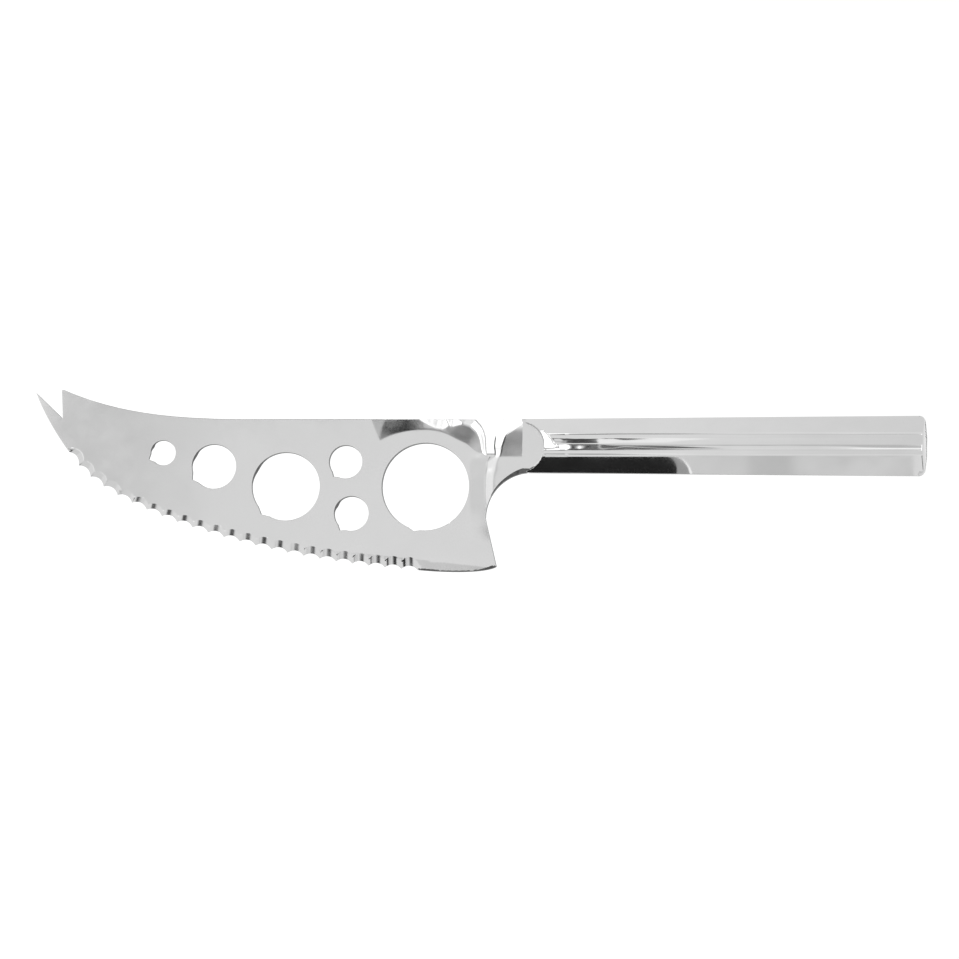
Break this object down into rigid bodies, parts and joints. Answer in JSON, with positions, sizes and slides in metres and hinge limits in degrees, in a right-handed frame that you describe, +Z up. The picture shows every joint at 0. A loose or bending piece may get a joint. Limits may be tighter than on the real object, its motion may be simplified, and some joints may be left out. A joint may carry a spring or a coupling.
{
  "type": "cheese knife",
  "caption": "Flat steel cheese knife with a pierced, serrated blade, a forked tip and a hollow faceted handle with a shallow groove.",
  "frame": {"origin": "middle of the underside of the knife's bounding box, on the surface that the handle's flat back lies on", "axes": "+X along the knife from the fork tips to the end of the handle, +Y towards the spine, +Z up out of the ground, fluted face of the blade"},
  "size_m": [0.24, 0.0494, 0.011],
  "materials": {
    "blade_steel": "polished stainless steel",
    "handle_steel": "polished stainless steel",
    "cap_steel": "polished stainless steel",
    "weld_steel": "polished weld",
    "resin": "cast resin"
  },
  "bodies": {
    "root": {"blade": "blade_steel", "handle_front_shell": "handle_steel", "handle_back_shell": "handle_steel", "end_cap": "cap_steel", "upper_seam_weld": "weld_steel", "lower_seam_weld": "weld_steel", "mouth_weld_front": "weld_steel", "mouth_weld_back": "weld_steel", "tang_resin": "resin"}
  },
  "joints": []
}
